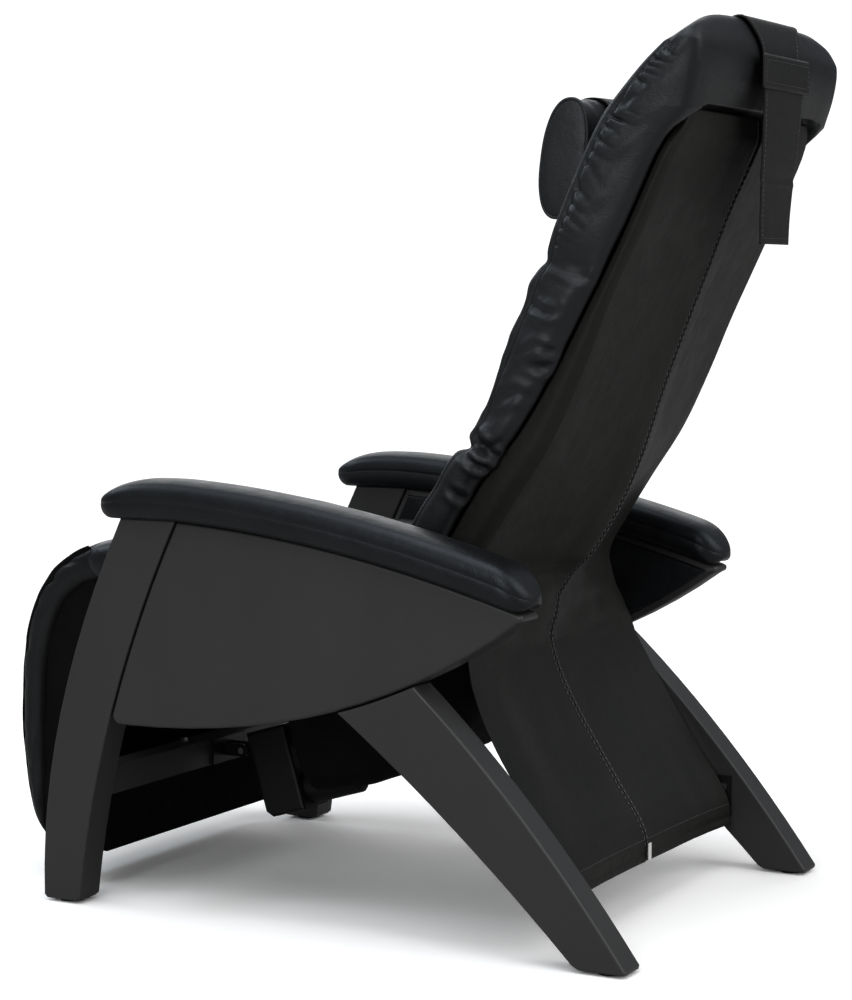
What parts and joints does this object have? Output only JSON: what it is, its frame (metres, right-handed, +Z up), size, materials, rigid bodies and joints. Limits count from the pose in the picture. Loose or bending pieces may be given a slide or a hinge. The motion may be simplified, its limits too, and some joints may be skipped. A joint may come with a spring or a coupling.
{
  "type": "zero gravity recliner",
  "caption": "Padded indoor recliner on wooden side frames; a hidden linear drive tilts its back and seat and lifts its legrest into a zero gravity posture.",
  "frame": {"origin": "middle of the floor area that the recliner covers, on the floor under its four glides", "axes": "+Z up; the sitter faces -Y; +X is the sitter's left"},
  "size_m": [0.755, 1.1154, 1.2412],
  "materials": {
    "frame": "satin charcoal stain, open grain barely showing",
    "leather": "black leatherette, semi-gloss, fine pebble grain",
    "cover": "black leatherette, matte, fine grain",
    "board": "plywood, unfinished",
    "steel": "black powder coat, satin",
    "zinc": "bright zinc plate",
    "brass": "yellow passivated, satin",
    "plastic": "black moulded plastic, matte",
    "glide": "black plastic glide",
    "tag": "pale plastic pull"
  },
  "bodies": {
    "base": {"left_front_leg": "frame", "right_front_leg": "frame", "left_rear_leg": "frame", "right_rear_leg": "frame", "left_side_panel": "frame", "right_side_panel": "frame", "left_front_glide": "glide", "right_front_glide": "glide", "left_rear_glide": "glide", "right_rear_glide": "glide", "left_arm_board": "board", "right_arm_board": "board", "left_arm_pad": "leather", "right_arm_pad": "leather", "front_crossbar": "frame", "rear_crossbar": "frame", "left_rear_bar_plate": "steel", "right_rear_bar_plate": "steel", "left_upper_bar_bolt": "zinc", "left_lower_bar_bolt": "brass", "right_upper_bar_bolt": "zinc", "right_lower_bar_bolt": "brass", "left_hip_bracket": "steel", "right_hip_bracket": "steel", "left_front_bar_bolt": "zinc", "right_front_bar_bolt": "zinc", "rear_skirt": "cover", "zip_pull": "tag", "drive_bracket": "steel", "drive_pivot_pin": "zinc"},
    "backrest": {"hip_shaft": "steel", "drive_lever": "steel", "lever_pin": "zinc", "left_back_plate": "steel", "right_back_plate": "steel", "back_cross_tube": "steel", "back_board": "board", "back_cover": "cover", "back_cushion": "leather", "head_strap": "cover"},
    "seat": {"left_seat_rail": "steel", "right_seat_rail": "steel", "seat_front_tube": "steel", "seat_deck": "board", "seat_cushion": "leather", "knee_roll": "leather", "knee_shaft": "zinc"},
    "legrest": {"left_legrest_plate": "steel", "right_legrest_plate": "steel", "legrest_frame": "cover", "legrest_pad": "leather"},
    "drive_body": {"drive_gearbox": "plastic", "drive_motor": "plastic", "drive_tube": "plastic", "drive_socket": "plastic"},
    "drive_rod": {"drive_rod": "zinc"},
    "head_pillow": {"head_pillow": "leather", "pillow_tab": "cover"},
    "strap_tail": {"strap_tail": "cover"}
  },
  "joints": [
    {"name": "back_recline", "type": "hinge", "parent": "base", "child": "backrest", "pos_m": [0, 0.15845, 0.42], "axis": [-1, 0, 0], "range_deg": [0, 27]},
    {"name": "seat_tilt", "type": "hinge", "parent": "base", "child": "seat", "pos_m": [0, 0.15845, 0.42], "axis": [-1, 0, 0], "range_deg": [0, 15]},
    {"name": "legrest_lift", "type": "hinge", "parent": "seat", "child": "legrest", "pos_m": [0, -0.45355, 0.432], "axis": [-1, 0, 0], "range_deg": [0, 60]},
    {"name": "drive_swing", "type": "hinge", "parent": "base", "child": "drive_body", "pos_m": [0, -0.30448, 0.176], "axis": [-1, 0, 0], "range_deg": [-0.8, 0]},
    {"name": "drive_extend", "type": "slide", "parent": "drive_body", "child": "drive_rod", "axis": [0, 0.9574, 0.2889], "range_m": [-0.046, 0]},
    {"name": "pillow_slide", "type": "slide", "parent": "backrest", "child": "head_pillow", "axis": [0, 0.414, 0.9103], "range_m": [-0.06, 0.03]},
    {"name": "strap_slide", "type": "slide", "parent": "backrest", "child": "strap_tail", "axis": [0, 0, 1], "range_m": [-0.03, 0.06]}
  ],
  "couplings": [
    {"joint": "seat_tilt", "follows": "back_recline", "ratio": 0.5555},
    {"joint": "legrest_lift", "follows": "back_recline", "ratio": 2.2222},
    {"joint": "drive_swing", "follows": "back_recline", "ratio": -0.0291},
    {"joint": "drive_extend", "follows": "back_recline", "m_per_rad": -0.0974},
    {"joint": "strap_slide", "follows": "pillow_slide", "ratio": -1}
  ]
}
